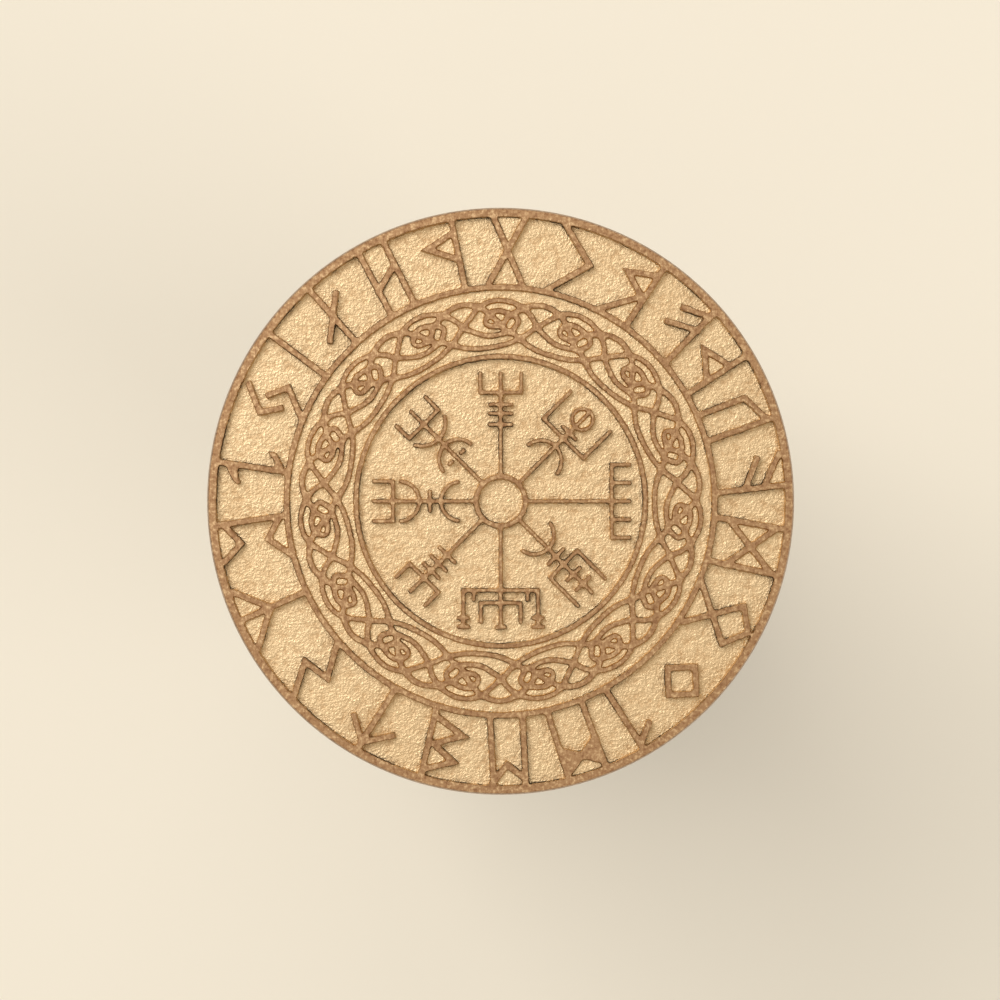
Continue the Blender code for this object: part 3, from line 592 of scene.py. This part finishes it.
# Solid spots of two runes, hooks and fillings: the bearing of the tile and the spot's corners
SOLID_SPOTS = [
    (82.5, [(-1, 15), (11.3, 12.9), (15.8, 9.1), (18.9, 13.7), (14.1, 19.4), (6.7, 24.4), (-1, 29)]),
    (82.5, [(-2, -33), (-16.7, -23.7), (-19.4, -20.2), (-19.4, -11.5), (-14, -16), (-9.8, -20.5),
            (-2, -21)]),
    (202.5, [(-43, 29), (-23, 16.5), (-41, 3)]),
    (202.5, [(-4, 29), (-23, 16.5), (-3, 4)]),
]


def pattern_patches():
    """All raised patches of the face, in steps."""
    patches = []
    for outer, inner in (RIM, RUNE_RING, COMPASS_RING, HUB_RING):
        sides = HUB_RING_SIDES if outer == HUB_RING[0] else RING_SIDES
        patches += ribbon(ring_line((outer + inner) / 2, sides), outer - inner, closed=True)
    eighth = 360 / len(STAVES)
    for i, stave in enumerate(STAVES):
        for line in stave:
            points = [placed(out, side, eighth * i) for out, side in line]
            patches += ribbon(points, STAVE_WIDTH, reach=STAVE_WIDTH / 2)
    unit = 360 / PLAIT_UNITS
    for i in range(PLAIT_STRANDS):
        laps = [unit * (i + PLAIT_STRANDS * lap) for lap in range(PLAIT_UNITS // PLAIT_STRANDS)]
        points = [placed(radius, 0, turn + start) for start in laps for turn, radius in STRAND]
        patches += ribbon(smooth_loop(points), STRAND_WIDTH, closed=True)
    points = [placed(radius, 0, turn + unit * i) for i in range(PLAIT_UNITS) for turn, radius in KNOT]
    patches += ribbon(smooth_loop(points), KNOT_WIDTH, closed=True)
    for i, (bearing, lines) in enumerate(RUNES):
        for line in lines:
            points = [placed(RUNE_MIDDLE + out, side, bearing) for side, out in line]
            patches += ribbon(points, RUNE_WIDTH, closed=i == CLOSED_RUNE, reach=RUNE_REACH)
    patches += [[placed(RUNE_MIDDLE + out, side, bearing) for side, out in corners]
                for bearing, corners in SOLID_SPOTS]
    return patches


def anticlockwise(points):
    """The same corners in the order that keeps their area on the left."""
    area = sum(p.x * q.y - q.x * p.y for p, q in zip(points, points[1:] + points[:1]))
    return points if area > 0 else points[::-1]


def flat_mesh(points, cells):
    """Flat faces at the height of the etched ground."""
    bm = bmesh.new()
    verts = [bm.verts.new((point.x, point.y, FACE_GROUND)) for point in points]
    for cell in cells:
        bm.faces.new([verts[i] for i in cell])
    return bm


def stroke_outlines():
    """Outlines of all raised strokes together, as points and as pairs that lines join. Their corners
    are round and their runs wander a little, as acid leaves them."""
    points, patches = [], []
    for patch in [ring_line(STEPS_TO_RIM, RING_SIDES)] + pattern_patches():
        patches.append(list(range(len(points), len(points) + len(patch))))
        points += anticlockwise(patch)
    flat, _, cells, _, _, owners = delaunay_2d_cdt(points, [], patches, INSIDE, 1e-3)
    bm = flat_mesh([point * STEP for point in flat], cells)
    for face, owner in zip(bm.faces, owners):
        face.material_index = TOP if max(owner) > 0 else GROUND

    def is_stroke_edge(item):
        return len({face.material_index for face in item.link_faces}) > 1

    by_cuts = {}
    for edge in filter(is_stroke_edge, bm.edges):
        by_cuts.setdefault(round(edge.calc_length() / ETCH_STEP) - 1, []).append(edge)
    for cuts, edges in by_cuts.items():
        if cuts > 0:
            bmesh.ops.bisect_edges(bm, edges=edges, cuts=cuts)
    for done in range(PLAIT_PASSES):
        evened = {}
        for vert in filter(is_stroke_edge, bm.verts):
            in_plait = COMPASS_RING[0] < vert.co.xy.length / STEP < RUNE_RING[1]
            if done >= CORNER_PASSES and not in_plait:
                continue
            sides = [edge.other_vert(vert).co for edge in vert.link_edges if is_stroke_edge(edge)]
            if len(sides) == 2:
                evened[vert] = vert.co.lerp((sides[0] + sides[1]) / 2, 0.5)
        for vert, spot in evened.items():
            vert.co = spot
    noise.seed_set(WANDER_SEED)
    for vert in filter(is_stroke_edge, bm.verts):
        vert.co.xy += noise.noise_vector(vert.co / ETCH_STEP).xy * ETCH_WANDER
    bm.verts.index_update()
    kept = [edge for edge in bm.edges if edge.is_boundary or is_stroke_edge(edge)]
    lines = [[vert.index for vert in edge.verts] for edge in kept]
    points = [vert.co.xy for vert in bm.verts]
    bm.free()
    used = sorted({i for line in lines for i in line})
    renumbered = {old: new for new, old in enumerate(used)}
    return [points[i] for i in used], [[renumbered[i] for i in line] for line in lines]


def mark_strokes(bm, outlines):
    """Tell the tops of strokes from the ground, from the rim inwards. Each outline divides the two."""
    beyond = {TOP: GROUND, GROUND: TOP}
    rim = next(edge for edge in bm.edges if edge.is_boundary).link_faces[0]
    rim.material_index = TOP
    marked, reached = {rim}, [rim]
    while reached:
        face = reached.pop()
        for edge in face.edges:
            for other in edge.link_faces:
                if other not in marked:
                    divided = frozenset(vert.index for vert in edge.verts) in outlines
                    kind = face.material_index
                    other.material_index = beyond[kind] if divided else kind
                    marked.add(other)
                    reached.append(other)


def set_depths(ground):
    """Raise the floor of narrow cells, because etching runs deep only where the acid can move."""
    left = set(ground)
    while left:
        cell, reached = set(), [left.pop()]
        while reached:
            face = reached.pop()
            cell.add(face)
            for edge in face.edges:
                for other in edge.link_faces:
                    if other in left:
                        left.remove(other)
                        reached.append(other)
        rim = sum(edge.calc_length() for face in cell for edge in face.edges
                  if any(other not in cell for other in edge.link_faces))
        width = sum(face.calc_area() for face in cell) / rim
        depth = min(FACE_TOP - FACE_GROUND, SHALLOWEST + ACID_REACH * width)
        for vert in {vert for face in cell for vert in face.verts}:
            vert.co.z = max(vert.co.z, FACE_TOP - depth)


def untangle(bm, tops):
    """Draw back the few corners that cross over where strokes meet at a sharp angle."""
    for _ in range(UNTANGLE_PASSES):
        bm.normal_update()
        folded = [face for face in tops if face.normal.z < FOLDED]
        bmesh.ops.smooth_vert(bm, verts=list({vert for face in folded for vert in face.verts}), factor=0.5,
                              use_axis_x=True, use_axis_y=True)


def engraved_die():
    """Plate with the pattern standing up from its etched ground, and three screw holes in its back."""
    points, lines = stroke_outlines()
    flat, edges, cells, _, sources, _ = delaunay_2d_cdt(points, lines, [], WHOLE, 1e-5)
    bm = flat_mesh(flat, cells)
    bm.verts.index_update()
    mark_strokes(bm, {frozenset(edge) for edge, source in zip(edges, sources) if source})
    raised = [face for face in bm.faces if face.material_index == TOP]
    bm.normal_update()
    walls = bmesh.ops.inset_region(bm, faces=raised, thickness=WALL_LEAN, depth=WALL_HEIGHT,
                                   use_boundary=True, use_even_offset=False)["faces"]
    rim_verts = {vert for face in walls for vert in face.verts
                 if vert.co.xy.length > DIE_RADIUS - 2 * WALL_LEAN}
    for face in walls:
        face.material_index = TOP if rim_verts.issuperset(face.verts) else WALL
    for vert in rim_verts:
        if vert.co.z > FACE_GROUND + WALL_HEIGHT / 2:
            vert.co.xy *= 1 - RIM_LEAN / DIE_RADIUS
    untangle(bm, raised)
    bmesh.ops.inset_region(bm, faces=raised, thickness=EASED_EDGE, depth=EASED_EDGE, use_even_offset=False)
    untangle(bm, raised)
    set_depths([face for face in bm.faces if face.material_index == GROUND])

    border = [edge for edge in bm.edges if edge.is_boundary]
    border = pull(bm, border, PLATE_BASE + BACK_CHAMFER - FACE_GROUND, material=SIDE)
    border = pull(bm, border, -BACK_CHAMFER, 1 - BACK_CHAMFER / DIE_RADIUS, material=SIDE)
    mouths = []
    for i in range(SCREW_COUNT):
        on_back = screw_spot(i) @ Matrix.Translation((0, 0, PLATE_BASE))
        verts = bmesh.ops.create_circle(bm, segments=HOLE_SIDES, radius=SCREW_HOLE, matrix=on_back)["verts"]
        mouths.append(list({edge for vert in verts for edge in vert.link_edges}))
    back = bmesh.ops.triangle_fill(bm, edges=sum(mouths, border), normal=(0, 0, -1))["geom"]
    faces = only(BMFace, back)
    for mouth in mouths:
        end = pull(bm, mouth, SCREW_DEPTH, material=SIDE)
        faces += bmesh.ops.edgeloop_fill(bm, edges=end)["faces"]
    for face in faces:
        face.material_index = SIDE
    bmesh.ops.recalc_face_normals(bm, faces=bm.faces)
    return bm


# Turned pieces. Profiles are (radius, height, edge radius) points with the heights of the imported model

SPINDLE_BORE = 4.3          # through the handle and the washer
TREE_HEART = (0.019, -0.031, 0)  # middle of the wood's growth rings, in metres
SWEEP_REACH = 0.385         # share of a stretch that its end directions reach
SCORCHED_LINES = (79.2, 80.8)
SCORCH_HALF = 0.3           # half the width of a scorched line, and its depth
SCORCH_STAIN = 0.42         # half the width of its dark colour
CAP_RADIUS = 14.0
CAP_GROOVES = (4.0, 6.6)
STRUCK_HEIGHT = 2.5         # how far up from the struck edge the cap is dented
DENT_DEPTH = 0.10
FERRULE_GROOVES = (94.0, 95.0)
WASHER_WAVER = 0.012        # share by which the washer's cut edge draws in


def arc(radius, height, size, degrees):
    """Points of a round section."""
    turns = [math.radians(angle) for angle in degrees]
    return [(radius + size * math.cos(turn), height + size * math.sin(turn)) for turn in turns]


def groove(radius, height, half, depth, edge):
    """Groove with rounded edges and a rounded floor."""
    return [(radius, height - half, edge), (radius - depth, height, -edge), (radius, height + half, edge)]


def sweep(start, end, lean_start, lean_end, steps):
    """Smooth stretch of the handle's outline between two (radius, height) points."""
    reach = (end[1] - start[1]) * SWEEP_REACH
    knots = [Vector((*start, 0)), Vector((start[0] + lean_start * reach, start[1] + reach, 0)),
             Vector((end[0] - lean_end * reach, end[1] - reach, 0)), Vector((*end, 0))]
    return [(point.x, point.y) for point in interpolate_bezier(*knots, steps)]


def walnut_handle():
    """Handle with a swell for the palm, a waist for the fingers, and tenons for the cap and the ferrule."""
    rear, fat, thin, front = (13.2, 14.3), (15.2, MARK_HEIGHT), (9.7, 71.3), (11.2, 84.3)
    outline = sweep(rear, fat, 0.25, 0, 24)[1:-1]
    outline += sweep(fat, thin, 0, 0, 40)[:-1]
    outline += sweep(thin, front, 0, 0.2, 24)
    lines = []
    for low, high in zip(outline, outline[1:]):
        lines.append(low)
        for height in SCORCHED_LINES:
            if low[1] <= height < high[1]:
                radius = (low[0] + high[0]) / 2
                lines += [(radius, height - SCORCH_HALF), (radius - SCORCH_HALF, height, -0.1),
                          (radius, height + SCORCH_HALF)]
    lines.sort(key=lambda point: point[1])
    profile = [(SPINDLE_BORE, 5.3), (11.0, 5.3), (11.0, rear[1]), (*rear, 0.35)] + lines
    profile += [(*front, 0.35), (8.8, front[1]), (8.8, 97.3), (SPINDLE_BORE, 97.3)]
    return cross_bored(bored(turned(profile, segments=144, ring=0.8), MARK_HOLE, *MARK_RUN, MARK_SPOT))


def brass_dot():
    """Slightly domed dot, let into the handle's swell."""
    bm = turned([(0, 12.2), (2.0, 12.2), (2.0, 15.22, 0.12), (1.0, 15.34), (0, 15.38)], segments=64)
    return moved(bm, MARK_SPOT)


def strike_cap():
    """Cup on the struck end, with two grooves and an edge dented by the mallet."""
    profile = [(0, 0), (CAP_RADIUS, 0, 2.0)]
    for height in CAP_GROOVES:
        profile += groove(CAP_RADIUS, height, 0.5, 0.5, 0.12)
    profile += [(CAP_RADIUS, 14, 0.6), (11.3, 14, 0.25), (11.3, 5), (0, 5)]
    bm = turned(profile)
    for vert in bm.verts:
        struck = max(0.0, 1 - vert.co.z / STRUCK_HEIGHT) * (vert.co.xy.length > 11)
        dent = noise.noise(vert.co * 0.55) * DENT_DEPTH * struck
        vert.co.xy *= 1 - abs(dent) / CAP_RADIUS
    return cross_bored(bm)


def peened_pin():
    """Cross pin with ends hammered into low domes."""
    profile = [(0, -14.06), (0.9, -14.0), (1.52, -13.85, 0.1), (1.52, 13.85, 0.1), (0.9, 14.0), (0, 14.06)]
    return moved(turned(profile, segments=64), PIN_SPOT)


def brass_ferrule():
    """Tapered ferrule with a bead at its foot and two fine grooves near its end."""
    profile = [(9.1, 84.6)] + arc(10.1, 85.3, 0.7, range(-90, 61, 15))
    for height in FERRULE_GROOVES:
        tapered = 10.45 - 0.35 * (height - 85.9) / 11.0
        profile += groove(tapered, height, 0.22, 0.16, 0.05)
    profile += [(10.1, 97.3, 0.35), (9.1, 97.3)]
    return turned(profile)


def leather_washer():
    """Thick washer with a slightly uneven cut edge."""
    profile = [(SPINDLE_BORE, 97.6), (10.0, 97.6, 0.5), (10.0, 99.8, 0.5), (SPINDLE_BORE, 99.8)]
    bm = turned(profile, ring=0.35)
    for vert in bm.verts:
        if vert.co.xy.length > 9:
            spot = Vector((vert.co.x * 0.35, vert.co.y * 0.35, vert.co.z * 0.8))
            vert.co.xy *= 1 - WASHER_WAVER * abs(noise.noise(spot))
    return bm


def steel_spindle():
    """Rod through the handle, with a flange under the hub and a grooved spigot for the die."""
    profile = [(0, 5.3), (4, 5.3, 0.6), (4, 100.1), (10, 100.1, 0.35), (10, 104.1, 0.35), (5, 104.1, -0.25),
               (5, 110.1, 0.12), (3.5, 110.1), (3.5, 112.1), (5, 112.1, 0.12), (5, 115.1, 0.9), (0, 115.1)]
    return bored(cross_bored(turned(profile, segments=128)), DOWEL_SEAT, 101.6, 106.0, DOWEL_SPOT)


def rubber_ring():
    """Round ring in the spigot's groove, which holds the die on."""
    return turned(arc(4.5, 111.1, 0.7, range(0, 360, 15)), segments=128)


def index_dowel():
    """Dowel that lets the die on only one way round."""
    bm = turned([(0, 101.7), (1, 101.7, 0.2), (1, 107.3, 0.45), (0, 107.3)], segments=48)
    return moved(bm, DOWEL_SPOT)


def steel_hub():
    """Flange behind the plate, with a socket for the spigot and holes for dowel and screws."""
    profile = [(0, 117.8), (16, 117.8, 0.3), (16, 114.3, 0.3), (9.5, 114.3, -1.0), (9.5, 104.4, 0.3),
               (5.3, 104.4, 0.4), (5.3, 115.4), (0, 115.4)]
    bm = bored(turned(profile), DOWEL_HOLE, 103.0, 107.7, DOWEL_SPOT)
    for i in range(SCREW_COUNT):
        bm = bored(bm, SCREW_HOLE, 113.0, 119.0, screw_spot(i))
    return bm


def socket_screw(index):
    """Cap screw with a knurled head and a hexagon socket, head down."""
    bm = bmesh.new()
    seat, face = [Matrix.Translation((0, 0, height)) for height in (SCREW_SEAT, SCREW_FACE)]
    head = bmesh.ops.create_circle(bm, segments=SCREW_SIDES, radius=2.25, matrix=seat)["verts"]
    for vert in head[1::2]:
        vert.co.xy *= KNURL
    shank = bmesh.ops.create_circle(bm, segments=SCREW_SIDES, radius=1.25, matrix=seat)["verts"]
    rim = [edge for edge in bm.edges if edge.verts[0] in head]
    neck = [edge for edge in bm.edges if edge.verts[0] in shank]
    bmesh.ops.bridge_loops(bm, edges=rim + neck)
    tip = pull(bm, neck, 7.0)
    tip = pull(bm, tip, 0.1, 0.8)
    bmesh.ops.edgeloop_fill(bm, edges=tip)
    side = pull(bm, rim, -2.1)
    for rise, size in ((-0.22, 0.955), (-0.12, 0.93), (-0.06, 0.86), (0.0, 0.78)):
        side = pull(bm, side, rise, size)
    hexagon = bmesh.ops.create_circle(bm, segments=6, radius=1.155, matrix=face)["verts"]
    key = [edge for edge in bm.edges if edge.verts[0] in hexagon and edge.verts[1] in hexagon]
    bmesh.ops.bridge_loops(bm, edges=side + key)
    floor = pull(bm, key, 1.25)
    floor = pull(bm, floor, 0.3, 0.35)
    bmesh.ops.edgeloop_fill(bm, edges=floor)
    bmesh.ops.recalc_face_normals(bm, faces=bm.faces)
    return moved(bm, screw_spot(index))


# Light and camera

FLOOR = "#EEE3CE"
FLOOR_DROP = 0.0002         # the floor lies this far below the cap, in metres
WORLD_LIGHT = 0.55
LAMP_TARGET = Vector((0, 0, 0.09))
LENS = 195
CAMERA = (-0.00004, 0.00008, FACE_TOP * MM + 0.35)

# Soft square lamps: name, place and width in metres, power in watts
LAMPS = [
    ("key", (-0.32, 0.30, 0.80), 0.5, 3.9),
    ("fill", (0.55, -0.25, 0.40), 0.5, 1.2),
    ("back", (0.10, 0.60, 0.35), 0.4, 0.6),
]


def seen_rays(tree):
    """1 for rays from the camera and for those that a surface mirrors or lets through, 0 for light."""
    ray = add(tree, "LightPath", {})
    seen = add(tree, "Math", {0: ray.outputs["Is Camera Ray"], 1: ray.outputs["Is Glossy Ray"]},
               operation="ADD")
    return add(tree, "Math", {0: seen, 1: ray.outputs["Is Transmission Ray"]}, operation="ADD",
               use_clamp=True)


def matt_floor():
    """Pale painted board. Away from the tool, past its shadow, it takes the background's even colour."""
    material, tree, shader, place = start_material("matt_floor")
    feed(tree, shader, {"Base Color": srgb(FLOOR), "Roughness": 0.9})
    away = add(tree, "VectorMath", {0: place}, operation="LENGTH")
    fade = add(tree, "MapRange", {0: away, 1: 0.12, 2: 0.5, 3: 0.0, 4: 1.0},
               interpolation_type="SMOOTHSTEP")
    share = add(tree, "Math", {0: fade, 1: seen_rays(tree)}, operation="MULTIPLY")
    even = add(tree, "Emission", {"Color": srgb(FLOOR), "Strength": 1.0})
    both = add(tree, "MixShader", {0: share, 1: shader, 2: even})
    feed(tree, tree.nodes["Material Output"], {"Surface": both})
    return material


def studio():
    """Pale plain floor and background, soft light from the sides, and the camera square above the die."""
    scene = bpy.context.scene
    scene.view_settings.view_transform = "Standard"

    bm = bmesh.new()
    bmesh.ops.create_grid(bm, x_segments=1, y_segments=1, size=3.0,
                          matrix=Matrix.Translation((0, 0, -FLOOR_DROP)))
    mesh = bpy.data.meshes.new("floor")
    bm.to_mesh(mesh)
    bm.free()
    mesh.materials.append(matt_floor())
    floor = bpy.data.objects.new("floor", mesh)
    scene.collection.objects.link(floor)

    world = bpy.data.worlds.new("studio")
    world.use_nodes = True
    scene.world = world
    tree = world.node_tree
    light = tree.nodes["Background"]
    feed(tree, light, {"Color": (1, 1, 1, 1), "Strength": WORLD_LIGHT})
    pale = add(tree, "Background", {"Color": srgb(FLOOR), "Strength": 1.0})
    both = add(tree, "MixShader", {0: seen_rays(tree), 1: light, 2: pale})
    feed(tree, tree.nodes["World Output"], {"Surface": both})

    for name, spot, size, watts in LAMPS:
        lamp = bpy.data.lights.new(name, "AREA")
        lamp.size = size
        lamp.energy = watts
        holder = bpy.data.objects.new(name, lamp)
        holder.location = spot
        holder.rotation_euler = (LAMP_TARGET - Vector(spot)).to_track_quat("-Z", "Y").to_euler()
        scene.collection.objects.link(holder)

    lens = bpy.data.cameras.new("camera")
    lens.lens = LENS
    lens.clip_start = 0.01
    camera = bpy.data.objects.new("camera", lens)
    camera.location = CAMERA
    scene.collection.objects.link(camera)
    scene.camera = camera


def build():
    """Make all pieces, then the floor, light and camera."""
    brass = turned_metal("lathe_turned_brass", "#C9AD78", "#A5875A", "#EBD8AC", 0.24)
    steel = turned_metal("lathe_turned_steel", "#A3A4A6", "#88898B", "#D8D8D6", 0.22)
    blackened = black_oxide()
    finish_piece("engraved_die", engraved_die(), [etched_brass(), browned_brass(), smut_and_shade_brass(), brass],
                 "die", "die_brass", "die_plate")
    finish_piece("steel_hub", steel_hub(), [steel], "die", "turned_steel", "die_hub")
    for i in range(SCREW_COUNT):
        finish_piece(f"socket_screw_{i + 1}", socket_screw(i), [blackened], "die", "black_steel",
                     f"hub_screw_{i + 1}")
    finish_piece("steel_spindle", steel_spindle(), [steel], "handle", "turned_steel", "spindle")
    finish_piece("rubber_ring", rubber_ring(), [moulded_rubber()], "handle", "ring_rubber", "retaining_ring")
    finish_piece("index_dowel", index_dowel(), [steel], "handle", "turned_steel", "index_pin")
    finish_piece("leather_washer", leather_washer(), [tanned_leather()], "handle", "washer_leather",
                 "shock_washer")
    finish_piece("brass_ferrule", brass_ferrule(), [brass], "handle", "ferrule_brass", "ferrule")
    finish_piece("walnut_handle", walnut_handle(), [oiled_walnut()], "handle", "walnut", "handle_grip")
    finish_piece("brass_dot", brass_dot(), [brass], "handle", "ferrule_brass", "top_mark")
    finish_piece("steel_strike_cap", strike_cap(), [steel], "handle", "turned_steel", "strike_cap")
    finish_piece("peened_pin", peened_pin(), [steel], "handle", "turned_steel", "cap_pin")
    studio()


build()
